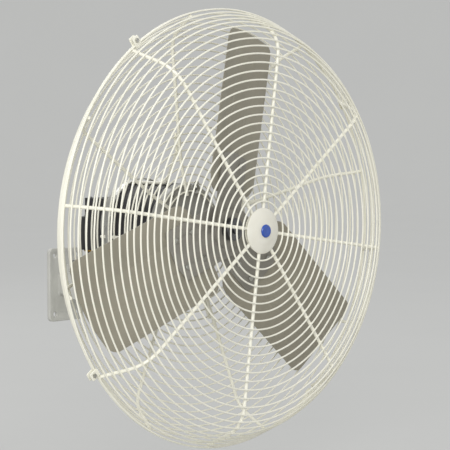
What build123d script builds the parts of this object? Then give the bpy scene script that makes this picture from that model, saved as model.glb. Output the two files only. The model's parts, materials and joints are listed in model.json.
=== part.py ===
from build123d import *
import math
import os

os.makedirs("parts", exist_ok=True)

# Millimetres. +Z is up and the fan blows towards -Y. The origin is the centre of the
# wall plate's back face. A depth is counted backwards along the fan's own axis, from
# the plane of the front guard's flat rings.

# Guard wires
ring_wire = 3.2
spoke_wire = 6.4
weld_gap = 0.02
guard_spokes = 8
front_turn = 8.0
rear_turn = front_turn - 180.0 / guard_spokes

# Front guard, as radius and depth of its ring wires
face_ring_pitch = 15.7
first_ring_radius = 54.1
face_rings = 18
shoulder_ring_count = 9
face_corner_radius = 361.2
rim_radius = 404.7
front_rim_depth = 85.2
front_bend = 64.0

# Rear guard
rear_first_radius = 68.4
rear_face_rings = 18
rear_shoulder_ring_count = 7
back_depth = 184.0
back_flat_radius = 130.0
rear_corner_radius = 364.0
rear_corner_depth = 148.5
rear_bend = 60.0
dish_bend = 120.0
rim_gap = 0.1

# Hub disc at the front guard's middle
disc_radius = 42.0
disc_dome = 6.5
disc_sheet = 1.5
backplate_radius = 38.0
backplate_sheet = 2.0
button_radius = 12.0
button_dome = 3.5
centre_screw = 6.0

# Rim clamps
clamp_sheet = 1.6
clamp_width = 15.0
clamp_inner_reach = 4.5
clamp_outer_reach = 15.0
clamp_count = 4
clamp_turn = 2.0
clamp_corner = 3.0
clamp_screw = 4.0
clamp_nut = 8.0
clamp_nut_height = 3.2
clamp_head_height = 3.0
clamp_screw_end = 4.4

# Propeller
blade_count = 3
blade_turn = 10.7
blade_tip_radius = 370.0
blade_root_radius = 64.0
blade_front_chord = 92.0
blade_rear_chord = 83.0
blade_pitch = 16.0
blade_camber = 10.0
blade_sheet = 1.8
trim = 6.0
tip_corner = 20.0
root_corner = 34.0
arm_corner = 14.0
prop_depth = 90.0
arm_radius = 143.0
arm_half_width = 46.0
arm_sheet = 3.0
hub_radius = 21.0
hub_length = 44.0
boss_radius = 36.0
boss_length = 12.0
rivet_shank = 5.0
rivet_head = 10.0
rivet_head_height = 2.0
rivet_head_gap = 0.5
rivet_places = [(78, -26), (78, 26), (122, -26), (122, 26)]
set_screw = 6.0
set_screw_sink = 2.0
hub_chamfer = 1.0

# Motor
shaft_diameter = 15.88
shaft_nose = 4.0
shaft_chamfer = 1.0
shaft_tail = 4.0
motor_gap = 6.0
motor_radius = 82.0
bell_depth = 22.0
bell_wall = 5.0
shell_wall = 2.5
shell_length = 118.0
bearing_outer = 34.92
bearing_width = 11.0
bearing_balls = 9
bearing_boss_radius = 25.0
bearing_slack = 2.2
nose_length = 22.0
front_boss_inside = 8.0
rear_boss_inside = 20.0
bell_corner = 5.0
seat_pad_radius = 5.5
shaft_clearance = 0.5
core_length = 76.0
rotor_radius = 44.5
air_gap = 0.7
winding_inner = 49.0
winding_outer = 67.0
winding_length = 17.0
fit = 0.04
winding_corner = 5.0
through_bolt = 5.0
through_bolt_radius = 72.5
through_bolt_slack = 0.3
through_bolt_head = 8.5
through_bolt_head_height = 3.4
through_nut = 9.0
through_nut_height = 4.0
through_bolt_tail = 1.0

# Clamps that hold the rear guard to the motor, and its stay rods
seat_clamp_length = 24.0
seat_clamp_width = 12.0
seat_clamp_corner = 4.0
seat_clamp_sheet = 2.0
seat_screw = 6.0
m6_head = 10.0
m6_head_height = 4.0
stay_wire = 6.4
stay_start_radius = 184.0
stay_turn_radius = 146.0
stay_landing = 44.0
stay_bend = 16.0
stay_count = 4
stay_end_margin = 6.0
band_width = 16.0
band_sheet = 1.6
band_ear = 14.0
band_slot = 4.0

# Terminal box on the motor's side
box_turn = 120.5
box_width = 54.0
box_length = 84.0
box_height = 34.0
box_wall = 2.5
box_corner = 5.0
box_offset = -6.0
gland_drop = 15.3
capacitor_radius = 11.0
capacitor_gap = 0.3
capacitor_length = 58.0
capacitor_offset = -4.0
capacitor_corner = 2.0
cover_screw = 4.0
cover_screw_length = 7.0
cover_screw_head = 7.0
cover_screw_head_height = 2.4
cover_boss_radius = 5.0
cover_boss_floor = 0.5
cover_chamfer = 0.8
gland_bore = 8.0
gland_thread = 20.0
gland_length = 24.0
gland_nut = 24.8
gland_nut_height = 6.0
gland_step = 0.4
gland_taper = 12.0
gland_tail = 3.0
knob_radius = 13.0
knob_height = 14.0
knob_skirt = 4.9
knob_grip = 7.0
knob_stem = 6.0
knob_gap = 0.6
knob_stem_reach = 3.0

# Oscillator gearbox
standoff = 8.0
box_front_clearance = 2.0
gear_module = 1.25
worm_turns = 8
worm_radius = 11.0
worm_teeth = 36
pinion_teeth = 12
crank_teeth = 48
mesh_clearance = 0.35
tooth_sink = 1.0
tooth_root = 1.1
tooth_tip = 0.8
tooth_foot = 0.3
tooth_crest = 0.14
thread_sink = 0.5
thread_reach = 1.8
thread_foot = 0.28
thread_crest = 0.1
worm_shoulder = 1.0
wheel_width = 9.0
gear_width = 11.0
gear_level = -40.5
casting_wall = 4.0
casting_left = 50.0
casting_right = 68.0
casting_top = 46.0
casting_bottom = 52.0
casting_corner = 6.0
casting_clearance = 1.5
foot_x = 36.0
foot_low = -36.0
foot_high = 30.0
foot_radius = 7.0
foot_screw = 6.0
lid_screw_margin = 14.0
lid_boss_height = 12.0
pinion_shaft = 10.0
crank_shaft = 11.0
running_fit = 0.05
clutch_knob_radius = 10.0
clutch_knob_height = 22.0
clutch_grip = 14.0
clutch_gap = 2.0
clutch_corner = 3.0
clutch_waist = 0.75
shaft_end_gap = 0.3
shaft_end_chamfer = 1.0

# Swing linkage
crank_to_spindle = 66.0
anchor_arm = 36.0
swing = 35.0
disc_thickness = 6.0
disc_level = -64.0
link_thickness = 6.0
link_width = 12.0
eye_radius = 9.0
link_pin = 8.0
link_gap = 0.4
pin_play = 0.3
pin_collar = 2.0
pin_seat = 7.2

# Spindle and neck block
spindle_diameter = 20.0
bush_wall = 3.0
bush_length = 22.0
swivel_boss_radius = 26.0
swivel_boss_top = 10.0
swivel_boss_bottom = -56.0
thrust_radius = 18.0
thrust_thickness = 3.4
neck_radius = 14.0
neck_edge = 2.0
spindle_end = 14.0
spindle_chamfer = 1.0
top_washer = 2.5
top_nut_height = 9.0
top_nut_radius = 16.0
swivel_play = 0.3
flange_radius = 48.0
flange_thickness = 12.0
flange_top = -80.0
stem_width = 50.0
stem_depth = 40.0
tilt_level = -132.0
tilt_radius = 22.0
tilt_bolt = 12.0
spindle_seat = 32.0

# Clevis, arm and wall plate
ear_gap = 0.4
ear_thickness = 8.0
ear_radius = 25.0
clevis_reach = 34.0
clevis_height = 62.0
arm_size = 40.0
arm_wall = 3.0
arm_length = 40.0
arm_corner = 4.0
plate_width = 90.0
plate_height = 150.0
plate_thickness = 8.0
plate_hole = 11.0
plate_hole_x = 60.0
plate_hole_z = 120.0
plate_corner = 10.0
plate_edge = 1.2
gusset_thickness = 6.0
gusset_reach = 24.0
gusset_height = 22.0
gusset_nose = 6.0
gusset_foot = 6.0

# Tilt bolt, washers and lever
tilt_bolt_head = 21.0
tilt_bolt_head_height = 8.0
tilt_bolt_tail = 28.0
tilt_washer = 2.5
lever_length = 54.0
lever_width = 11.0
lever_grip = 11.0
lever_edge = 2.0
lever_boss_radius = 14.0
lever_boss_height = 20.0
lever_offset = 6.0

# Places that follow from the sizes above
spoke_offset = (ring_wire + spoke_wire) / 2 + weld_gap
motor_front = back_depth + motor_gap
shell_front = motor_front + bell_depth
shell_back = shell_front + shell_length
motor_back = shell_back + bell_depth
core_front = shell_front + (shell_length - core_length) / 2
casting_front = motor_back + standoff
crank_pitch_radius = gear_module * crank_teeth / 2
pinion_pitch_radius = gear_module * pinion_teeth / 2
wheel_pitch_radius = gear_module * worm_teeth / 2
crank_depth = casting_front + casting_wall + box_front_clearance + crank_pitch_radius + gear_module
casting_back = crank_depth + crank_pitch_radius + gear_module + box_front_clearance + casting_wall
wheel_x = wheel_pitch_radius + worm_radius + mesh_clearance
crank_x = wheel_x - crank_pitch_radius - pinion_pitch_radius - mesh_clearance
spindle_depth = crank_depth + crank_to_spindle
wall_distance = spindle_depth + clevis_reach + ear_thickness + arm_length + plate_thickness
axis_height = -tilt_level
shaft_radius = shaft_diameter / 2
shaft_front = prop_depth - hub_length / 2 - shaft_nose
worm_lead = math.pi * gear_module
worm_length = worm_turns * worm_lead
shaft_back = crank_depth + worm_length / 2 + shaft_tail


def fan_plane(depth):
    """A plane across the fan's axis that faces the front."""
    return Plane(origin=(0, depth - wall_distance, axis_height), x_dir=(1, 0, 0), z_dir=(0, -1, 0))


def back_plane(depth):
    """A plane across the fan's axis that faces the wall."""
    return Plane(origin=(0, depth - wall_distance, axis_height), x_dir=(1, 0, 0), z_dir=(0, 1, 0))


def level_plane(depth, level, x=0.0):
    """A level plane that faces up, at a height above the fan's axis."""
    return Plane(origin=(x, depth - wall_distance, axis_height + level), x_dir=(1, 0, 0), z_dir=(0, 0, 1))


def clock(turn):
    """The angle on a fan plane of a place turned clockwise from the top."""
    return 90.0 - turn


def around(count, turn, radius=0.0):
    """Equal places round the axis, the first turned clockwise from the top."""
    return PolarLocations(radius, count, start_angle=clock(turn))


radial_plane = Plane(origin=(0, 0, 0), x_dir=(1, 0, 0), z_dir=(0, 1, 0))


def save(name, label):
    """Labels a finished piece and writes its file."""
    name.part.label = label
    export_step(name.part, f"parts/{label}.step")


def inward(corners, distance):
    """Moves a guard's profile to the inside of its rings."""
    moved = []
    for place, (radius, depth) in enumerate(corners):
        before = corners[max(place - 1, 0)]
        after = corners[min(place + 1, len(corners) - 1)]
        first = math.atan2(depth - before[1], radius - before[0]) if place else None
        last = math.atan2(after[1] - depth, after[0] - radius) if place < len(corners) - 1 else None
        first = last if first is None else first
        last = first if last is None else last
        middle = (first + last) / 2
        reach = distance / math.cos((last - first) / 2)
        moved.append((radius - reach * math.sin(middle), depth + reach * math.cos(middle)))
    return moved


def ring_places(profile, flat_count, bend_count):
    """Radius and depth of each ring, evenly along the flat and along the shoulder."""
    flat = (flat_count - 1) * face_ring_pitch
    step = (profile.length - flat) / bend_count
    stops = [face_ring_pitch * n for n in range(flat_count)]
    stops += [flat + step * n for n in range(1, bend_count + 1)]
    return [profile.position_at(stop / profile.length) for stop in stops]


def wire_rings(places):
    """A ring of round wire at each place."""
    with BuildPart() as rings:
        for place in places:
            with Locations(fan_plane(place.Y)):
                Torus(place.X, ring_wire / 2)
    return rings


def wire_along(corners, bends, diameter):
    """A round wire bent in the plane that holds the axis."""
    with BuildPart() as wire:
        with BuildLine(radial_plane) as path:
            FilletPolyline(*corners, radius=bends)
        with BuildSketch(Plane(origin=path.line @ 0, z_dir=path.line % 0)):
            Circle(diameter / 2)
        sweep()
    return wire


def screw(thread, length, head, height):
    """A hexagon screw: its head stands on the plane, its shank goes down."""
    with BuildPart() as piece:
        with BuildSketch():
            RegularPolygon(head / 2, 6)
        extrude(amount=height)
        chamfer(piece.edges().group_by(Axis.Z)[-1], min(height, head) * 0.08)
        with BuildSketch():
            Circle(thread / 2)
        extrude(amount=-length)
    return piece.part


def gear(teeth, width, bore):
    """A straight-toothed gear with slim teeth, its middle on the plane."""
    pitch_radius = gear_module * teeth / 2
    root = pitch_radius - tooth_root * gear_module
    tip = pitch_radius + tooth_tip * gear_module
    foot = tooth_foot * math.pi * gear_module
    crest = tooth_crest * math.pi * gear_module
    inner = root - tooth_sink
    with BuildPart() as wheel:
        with BuildSketch(Plane.XY.offset(-width / 2)):
            Circle(root)
            with PolarLocations(0, teeth):
                with BuildLine():
                    Polyline((inner, -foot), (tip, -crest), (tip, crest), (inner, foot), close=True)
                make_face()
            Circle(bore / 2, mode=Mode.SUBTRACT)
        extrude(amount=width)
    return wheel.part


# Front guard

front_corners = [(first_ring_radius, 0.0), (face_corner_radius, 0.0), (rim_radius, front_rim_depth)]
with BuildLine() as front_line:
    FilletPolyline(*front_corners, radius=front_bend)
front_profile = front_line.wire()
front_places = ring_places(front_profile, face_rings, shoulder_ring_count)
front_guard_rings = wire_rings(front_places[:face_rings])
save(front_guard_rings, "front_guard_rings")
front_shoulder_rings = wire_rings(front_places[face_rings:])
save(front_shoulder_rings, "front_shoulder_rings")

spoke_inner = disc_radius * 0.6
front_inside = inward(front_corners, spoke_offset)
front_inside[0] = (spoke_inner, front_inside[0][1])
front_spoke = wire_along(front_inside, front_bend - spoke_offset, spoke_wire)
with BuildPart() as front_guard_spokes:
    with Locations(fan_plane(0)):
        with around(guard_spokes, front_turn):
            add(front_spoke.part)
save(front_guard_spokes, "front_guard_spokes")

spoke_front_face = spoke_offset - spoke_wire / 2 - weld_gap
spoke_back_face = spoke_offset + spoke_wire / 2 + weld_gap
disc_edge = spoke_front_face - disc_sheet
disc_front = disc_edge - disc_dome
with BuildPart() as hub_disc:
    with BuildSketch(radial_plane) as disc_section:
        with BuildLine():
            outer_arc = SagittaArc((disc_radius, disc_edge), (-disc_radius, disc_edge), disc_dome)
            Line(outer_arc @ 1, (-disc_radius, spoke_front_face))
            SagittaArc((-disc_radius, spoke_front_face), (disc_radius, spoke_front_face), -disc_dome)
            Line((disc_radius, spoke_front_face), outer_arc @ 0)
        make_face()
        with Locations((-disc_radius, 0)):
            Rectangle(2 * disc_radius, 8 * disc_dome, mode=Mode.SUBTRACT)
    revolve(axis=Axis.Z)
    with BuildSketch(Plane.XY.offset(4 * disc_dome)):
        Circle(centre_screw / 2 + running_fit)
    extrude(amount=-8 * disc_dome, mode=Mode.SUBTRACT)
hub_disc.part = hub_disc.part.moved(fan_plane(0).location)
save(hub_disc, "hub_disc")

with BuildPart() as hub_backplate:
    with BuildSketch(fan_plane(spoke_back_face)):
        Circle(backplate_radius)
        Circle(centre_screw / 2 - running_fit, mode=Mode.SUBTRACT)
    extrude(amount=-backplate_sheet)
    chamfer(hub_backplate.edges().group_by(Axis.Y)[-1].sort_by(SortBy.LENGTH)[-1], backplate_sheet / 4)
save(hub_backplate, "hub_backplate")

button_seat = disc_front - weld_gap
with BuildPart() as hub_button:
    with BuildSketch(fan_plane(button_seat)):
        Circle(button_radius)
    extrude(amount=button_dome)
    fillet(hub_button.edges().group_by(Axis.Y)[0], button_dome * 0.8)
    with BuildSketch(fan_plane(button_seat)):
        Circle(centre_screw / 2 - running_fit)
    extrude(amount=-(spoke_back_face + backplate_sheet / 2 - button_seat))
save(hub_button, "hub_button")

# Rear guard

rear_rim_depth = front_rim_depth + ring_wire + rim_gap
rear_corners = [
    (rear_first_radius, back_depth),
    (back_flat_radius, back_depth),
    (rear_corner_radius, rear_corner_depth),
    (rim_radius, rear_rim_depth),
]
with BuildLine() as rear_line:
    FilletPolyline(*rear_corners, radius=[dish_bend, rear_bend])
rear_profile = rear_line.wire()
rear_places = ring_places(rear_profile, rear_face_rings, rear_shoulder_ring_count)
rear_guard_rings = wire_rings(rear_places[: rear_face_rings - 1])
save(rear_guard_rings, "rear_guard_rings")
rear_shoulder_rings = wire_rings(rear_places[rear_face_rings - 1 :])
save(rear_shoulder_rings, "rear_shoulder_rings")

rear_inside = inward(rear_corners, -spoke_offset)
rear_inside[0] = (rear_first_radius - spoke_wire, rear_inside[0][1])
rear_spoke = wire_along(rear_inside, [dish_bend - spoke_offset, rear_bend - spoke_offset], spoke_wire)
with BuildPart() as rear_guard_spokes:
    with Locations(fan_plane(0)):
        with around(guard_spokes, rear_turn):
            add(rear_spoke.part)
save(rear_guard_spokes, "rear_guard_spokes")

stay_radius = motor_radius + stay_wire / 2 + weld_gap
rear_slope = (back_depth - rear_corner_depth) / (rear_corner_radius - back_flat_radius)
behind_rings = ((ring_wire + stay_wire) / 2 + weld_gap) / math.cos(math.atan(rear_slope))


def behind_guard(radius):
    """Depth of a rod that lies against the back of the rear guard's sloping rings."""
    return back_depth - rear_slope * (radius - back_flat_radius) + behind_rings


stay_landing_depth = behind_guard(stay_turn_radius) + stay_landing
stay_back = motor_back - stay_end_margin
guard_stay = wire_along(
    [
        (stay_start_radius, behind_guard(stay_start_radius)),
        (stay_turn_radius, behind_guard(stay_turn_radius)),
        (stay_radius, stay_landing_depth),
        (stay_radius, stay_back),
    ],
    stay_bend,
    stay_wire,
)
with BuildPart() as guard_stays:
    with Locations(fan_plane(0)):
        with around(stay_count, rear_turn):
            add(guard_stay.part)
save(guard_stays, "guard_stays")

band_inner = stay_radius + stay_wire / 2 + weld_gap
band_front = stay_back - 2 * band_width
band_turn = rear_turn + 180.0 / stay_count
with BuildPart() as stay_band:
    with BuildSketch(fan_plane(band_front)):
        Circle(band_inner + band_sheet)
        Circle(band_inner, mode=Mode.SUBTRACT)
        with around(1, band_turn, band_inner + band_ear / 2):
            Rectangle(band_ear, 2 * band_sheet + band_slot)
        with around(1, band_turn, band_inner + band_ear / 2):
            Rectangle(2 * band_ear, band_slot, mode=Mode.SUBTRACT)
    extrude(amount=-band_width)
save(stay_band, "stay_band")

# Rim clamps: two small plates and a screw at every second spoke

plate_front = front_rim_depth - ring_wire / 2 - weld_gap
plate_back = rear_rim_depth + ring_wire / 2 + weld_gap
clamp_middle = rim_radius + (clamp_outer_reach - clamp_inner_reach) / 2
clamp_screw_radius = rim_radius + clamp_outer_reach / 2
first_clamp_turn = front_turn + 180.0 / clamp_count + clamp_turn
with BuildPart() as rim_clamps:
    for plane in (fan_plane(plate_front - clamp_sheet), fan_plane(plate_back)):
        with BuildSketch(plane):
            with around(clamp_count, first_clamp_turn, clamp_middle):
                RectangleRounded(clamp_inner_reach + clamp_outer_reach, clamp_width, clamp_corner)
            with around(clamp_count, first_clamp_turn, clamp_screw_radius):
                Circle(clamp_screw / 2 + running_fit, mode=Mode.SUBTRACT)
        extrude(amount=-clamp_sheet)
save(rim_clamps, "rim_clamps")

clamp_screw_length = plate_back - plate_front + 2 * clamp_sheet + clamp_nut_height + clamp_screw_end
clamp_screw_piece = screw(clamp_screw, clamp_screw_length, clamp_nut, clamp_head_height)
with BuildPart() as rim_clamp_screws:
    with Locations(fan_plane(plate_front - clamp_sheet - weld_gap)):
        with around(clamp_count, first_clamp_turn, clamp_screw_radius):
            add(clamp_screw_piece)
    with BuildSketch(fan_plane(plate_back + clamp_sheet + weld_gap)):
        with around(clamp_count, first_clamp_turn, clamp_screw_radius):
            RegularPolygon(clamp_nut / 2, 6)
            Circle(clamp_screw / 2 + running_fit, mode=Mode.SUBTRACT)
    extrude(amount=-clamp_nut_height)
save(rim_clamp_screws, "rim_clamp_screws")

# Propeller: cambered sheet blades on a three-armed spider

pitch_plane = Plane(
    origin=(0, 0, 0),
    x_dir=(0, math.cos(math.radians(blade_pitch)), math.sin(math.radians(blade_pitch))),
    z_dir=(1, 0, 0),
)


chord_middle = (blade_front_chord - blade_rear_chord) / 2
chord_half = (blade_front_chord + blade_rear_chord) / 2
camber_radius = (chord_half**2 + blade_camber**2) / (2 * blade_camber)


def sheet_height(chord):
    """Height of the blade's back at a place along its chord."""
    return camber_radius - blade_camber - math.sqrt(camber_radius**2 - (chord - chord_middle) ** 2)


def pitched_sheet(near, far, reach):
    """Cambered sheet between two heights above the blade's back, out to a radius."""
    ends = (-blade_rear_chord - trim, blade_front_chord + trim)
    with BuildPart() as sheet:
        with BuildSketch(pitch_plane):
            with BuildLine():
                arcs = [
                    ThreePointArc(
                        (ends[0], height + sheet_height(ends[0])),
                        (chord_middle, height - blade_camber),
                        (ends[1], height + sheet_height(ends[1])),
                    )
                    for height in (near, far)
                ]
                Line(arcs[0] @ 0, arcs[1] @ 0)
                Line(arcs[0] @ 1, arcs[1] @ 1)
            make_face()
        extrude(amount=reach)
    return sheet.part


rivet_plane = Plane(origin=(0, 0, 0), x_dir=(1, 0, 0), z_dir=pitch_plane.y_dir)


def rivet_spots(height):
    """Rivet places of one blade, at a height above its back."""
    return [(along, chord, sheet_height(chord) + height) for along, chord in rivet_places]


chord_cos = math.cos(math.radians(blade_pitch))
with BuildPart() as one_blade:
    add(pitched_sheet(0, blade_sheet, blade_tip_radius))
    with BuildSketch() as blade_plan:
        with Locations((blade_tip_radius / 2, (blade_front_chord - blade_rear_chord) * chord_cos / 2)):
            Rectangle(blade_tip_radius, (blade_front_chord + blade_rear_chord) * chord_cos)
        Circle(blade_tip_radius, mode=Mode.INTERSECT)
        with Locations((blade_root_radius / 2, 0)):
            Rectangle(blade_root_radius, 4 * blade_front_chord, mode=Mode.SUBTRACT)
        fillet(blade_plan.vertices().group_by(Axis.X)[0], root_corner)
        fillet(blade_plan.vertices().sort_by(Axis.X)[-2:], tip_corner)
    extrude(amount=2 * blade_front_chord, both=True, mode=Mode.INTERSECT)
    with Locations(rivet_plane):
        with Locations(*rivet_spots(0)):
            Cylinder(rivet_shank / 2 + fit, 6 * blade_sheet, mode=Mode.SUBTRACT)

for place in range(blade_count):
    with BuildPart() as blade:
        with Locations(fan_plane(prop_depth)):
            with around(1, blade_turn + 360 / blade_count * place):
                add(one_blade.part)
    save(blade, f"blade_{place + 1}")

arm_near = blade_sheet + weld_gap
with BuildPart() as one_arm:
    add(pitched_sheet(arm_near, arm_near + arm_sheet, arm_radius))
    with BuildSketch() as arm_plan:
        with Locations((arm_radius / 2, 0)):
            Rectangle(arm_radius, 2 * arm_half_width)
        Circle(arm_radius, mode=Mode.INTERSECT)
        fillet(arm_plan.vertices().sort_by(Axis.X)[-2:], arm_corner)
    extrude(amount=2 * arm_half_width, both=True, mode=Mode.INTERSECT)
    with Locations(rivet_plane):
        with Locations(*rivet_spots(arm_near)):
            Cylinder(rivet_shank / 2 + fit, 6 * arm_sheet, mode=Mode.SUBTRACT)

with BuildPart() as blade_spider:
    with Locations(fan_plane(prop_depth)):
        with around(blade_count, blade_turn):
            add(one_arm.part)
    with Locations(fan_plane(prop_depth)):
        Cylinder(boss_radius, boss_length)
        Cylinder(hub_radius + fit, hub_length, mode=Mode.SUBTRACT)
save(blade_spider, "blade_spider")

rivet_stack = arm_near + arm_sheet
rivet_head_reach = rivet_head_gap + rivet_head_height / 2
with BuildPart() as one_rivet:
    with Locations(rivet_plane):
        with Locations(*rivet_spots(rivet_stack / 2)):
            Cylinder(rivet_shank / 2, rivet_stack + 2 * rivet_head_reach)
        with Locations(*rivet_spots(rivet_stack + rivet_head_reach), *rivet_spots(-rivet_head_reach)):
            Cylinder(rivet_head / 2, rivet_head_height)
with BuildPart() as blade_rivets:
    with Locations(fan_plane(prop_depth)):
        with around(blade_count, blade_turn):
            add(one_rivet.part)
save(blade_rivets, "blade_rivets")

hub_front = prop_depth - hub_length / 2
set_screw_depth = hub_front + hub_length * 0.18
with BuildPart() as prop_hub:
    with BuildSketch(fan_plane(hub_front)):
        Circle(hub_radius)
        Circle(shaft_radius + fit, mode=Mode.SUBTRACT)
    extrude(amount=-hub_length)
    hub_rims = prop_hub.edges().filter_by(GeomType.CIRCLE)
    chamfer([rim for rim in hub_rims if rim.radius > hub_radius - fit], hub_chamfer)
    for turn in (0, 90):
        with Locations(fan_plane(set_screw_depth)):
            with around(1, blade_turn + turn, (hub_radius + shaft_radius) / 2):
                Cylinder(set_screw / 2 + fit, hub_radius, rotation=(0, 90, 0), mode=Mode.SUBTRACT)
save(prop_hub, "prop_hub")

set_screw_length = hub_radius - shaft_radius - set_screw_sink
with BuildPart() as hub_set_screws:
    for turn in (0, 90):
        with Locations(fan_plane(set_screw_depth)):
            with around(1, blade_turn + turn, shaft_radius + fit + set_screw_length / 2):
                Cylinder(set_screw / 2, set_screw_length, rotation=(0, 90, 0))
save(hub_set_screws, "hub_set_screws")

# Motor

with BuildPart() as motor_shaft:
    with BuildSketch(fan_plane(shaft_front)):
        Circle(shaft_radius)
    extrude(amount=-(shaft_back - shaft_front))
    chamfer(motor_shaft.edges().filter_by(GeomType.CIRCLE), shaft_chamfer)
save(motor_shaft, "motor_shaft")

with BuildPart() as rotor_core:
    with BuildSketch(fan_plane(core_front)):
        Circle(rotor_radius)
        Circle(shaft_radius + fit, mode=Mode.SUBTRACT)
    extrude(amount=-core_length)
save(rotor_core, "rotor_core")

stator_inner = rotor_radius + air_gap
bolt_turn = rear_turn + 67.5
with BuildPart() as stator_core:
    with BuildSketch(fan_plane(core_front)):
        Circle(motor_radius - shell_wall - fit)
        Circle(stator_inner, mode=Mode.SUBTRACT)
        with around(4, bolt_turn, through_bolt_radius):
            Circle(through_bolt / 2 + through_bolt_slack, mode=Mode.SUBTRACT)
    extrude(amount=-core_length)
save(stator_core, "stator_core")

with BuildPart() as stator_windings:
    for front in (core_front - winding_length - fit, core_front + core_length + fit):
        with BuildSketch(fan_plane(front)):
            Circle(winding_outer)
            Circle(winding_inner, mode=Mode.SUBTRACT)
        extrude(amount=-winding_length)
    fillet(stator_windings.edges().filter_by(GeomType.CIRCLE), winding_corner)
save(stator_windings, "stator_windings")

with BuildPart() as motor_shell:
    with BuildSketch(fan_plane(shell_front)):
        Circle(motor_radius)
        Circle(motor_radius - shell_wall, mode=Mode.SUBTRACT)
    extrude(amount=-shell_length)
save(motor_shell, "motor_shell")

bearing_radius = bearing_outer / 2
seat_turn = rear_turn + 22.5
seat_radius = rear_first_radius + face_ring_pitch / 2
seat_depth = back_depth + ring_wire / 2 + weld_gap


def end_bell(face, boss_out, boss_in, pads):
    """A bell end seen from outside on the plane: rim, face, bearing boss and its seat."""
    with BuildPart() as bell:
        with BuildSketch(face):
            Circle(motor_radius)
        extrude(amount=-bell_depth + fit)
        rims = bell.edges().filter_by(GeomType.CIRCLE)
        fillet(rims.sort_by(lambda rim: face.to_local_coords(rim.center()).Z)[-1], bell_corner)
        with BuildSketch(face.offset(-bell_wall)):
            Circle(motor_radius - bell_wall)
        extrude(amount=-bell_depth, mode=Mode.SUBTRACT)
        with BuildSketch(face.offset(boss_out)):
            Circle(bearing_boss_radius)
        extrude(amount=-boss_out - boss_in)
        with BuildSketch(face.offset(-boss_in)):
            Circle(bearing_radius + fit)
        extrude(amount=bearing_width + bearing_slack, mode=Mode.SUBTRACT)
        if pads:
            with BuildSketch(face):
                with around(4, seat_turn, seat_radius):
                    Circle(seat_pad_radius)
            extrude(amount=pads)
            with BuildSketch(face.offset(pads)):
                with around(4, seat_turn, seat_radius):
                    Circle(seat_screw / 2 + fit)
            extrude(amount=-pads - bell_wall, mode=Mode.SUBTRACT)
        with BuildSketch(face.offset(boss_out)):
            Circle(shaft_radius + shaft_clearance)
        extrude(amount=-boss_out - boss_in, mode=Mode.SUBTRACT)
    return bell


front_bell = end_bell(fan_plane(motor_front), nose_length, front_boss_inside, motor_front - seat_depth)
with BuildPart(mode=Mode.PRIVATE) as bell_holes:
    with BuildSketch(fan_plane(motor_front - 1)):
        with around(4, bolt_turn, through_bolt_radius):
            Circle(through_bolt / 2 + through_bolt_slack)
    extrude(amount=-(motor_back - motor_front + 2))
front_bell.part = front_bell.part - bell_holes.part
save(front_bell, "front_bell")

rear_bell = end_bell(back_plane(motor_back), 0, rear_boss_inside, 0)
rear_bell.part = rear_bell.part - bell_holes.part

front_bearing_front = motor_front + front_boss_inside - bearing_width - bearing_slack / 2
rear_bearing_front = motor_back - rear_boss_inside + bearing_slack / 2
race = (bearing_radius - shaft_radius) * 0.3
ball_circle = (bearing_radius + shaft_radius) / 2
ball_radius = (bearing_radius - shaft_radius) / 2 - race - running_fit

with BuildPart() as motor_bearings:
    for front in (front_bearing_front, rear_bearing_front):
        with BuildSketch(fan_plane(front)):
            Circle(bearing_radius)
            Circle(bearing_radius - race, mode=Mode.SUBTRACT)
            Circle(shaft_radius + race)
            Circle(shaft_radius + running_fit, mode=Mode.SUBTRACT)
        extrude(amount=-bearing_width)
        with Locations(fan_plane(front + bearing_width / 2)):
            with PolarLocations(ball_circle, bearing_balls):
                Sphere(ball_radius)
save(motor_bearings, "motor_bearings")

through_bolt_length = motor_back - motor_front + through_nut_height + through_bolt_tail
bolt_piece = screw(through_bolt, through_bolt_length, through_bolt_head, through_bolt_head_height)
with BuildPart() as through_bolts:
    with Locations(fan_plane(motor_front - weld_gap)):
        with around(4, bolt_turn, through_bolt_radius):
            add(bolt_piece)
    with BuildSketch(fan_plane(motor_back + weld_gap)):
        with around(4, bolt_turn, through_bolt_radius):
            RegularPolygon(through_nut / 2, 6)
            Circle(through_bolt / 2 + running_fit, mode=Mode.SUBTRACT)
    extrude(amount=-through_nut_height)
save(through_bolts, "through_bolts")

# Seat clamps that hold the rear guard's two inner rings on the front bell

seat_plate_back = back_depth - ring_wire / 2 - weld_gap
with BuildPart() as seat_clamps:
    with BuildSketch(fan_plane(seat_plate_back)):
        with around(4, seat_turn, seat_radius):
            RectangleRounded(seat_clamp_length, seat_clamp_width, seat_clamp_corner)
            Circle(seat_screw / 2 + fit, mode=Mode.SUBTRACT)
    extrude(amount=seat_clamp_sheet)
save(seat_clamps, "seat_clamps")

seat_screw_length = motor_front - seat_plate_back + seat_clamp_sheet + bell_wall
seat_screw_piece = screw(seat_screw, seat_screw_length, m6_head, m6_head_height)
with BuildPart() as seat_screws:
    with Locations(fan_plane(seat_plate_back - seat_clamp_sheet - weld_gap)):
        with around(4, seat_turn, seat_radius):
            add(seat_screw_piece)
save(seat_screws, "seat_screws")

# Terminal box, capacitor, gland and speed knob

box_angle = math.radians(box_turn)
box_out = (math.sin(box_angle), 0.0, math.cos(box_angle))
box_middle_depth = shell_front + shell_length / 2 + box_offset


def box_plane(radius):
    """A plane on the terminal box, at a distance from the fan's axis; its y runs to the wall."""
    origin = (box_out[0] * radius, box_middle_depth - wall_distance, axis_height + box_out[2] * radius)
    return Plane(origin=origin, x_dir=(box_out[2], 0, -box_out[0]), z_dir=box_out)


box_top = motor_radius + box_height
with BuildPart() as shell_space:
    with BuildSketch(fan_plane(0)):
        Circle(motor_radius + fit)
    extrude(amount=-2 * motor_back)

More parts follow.
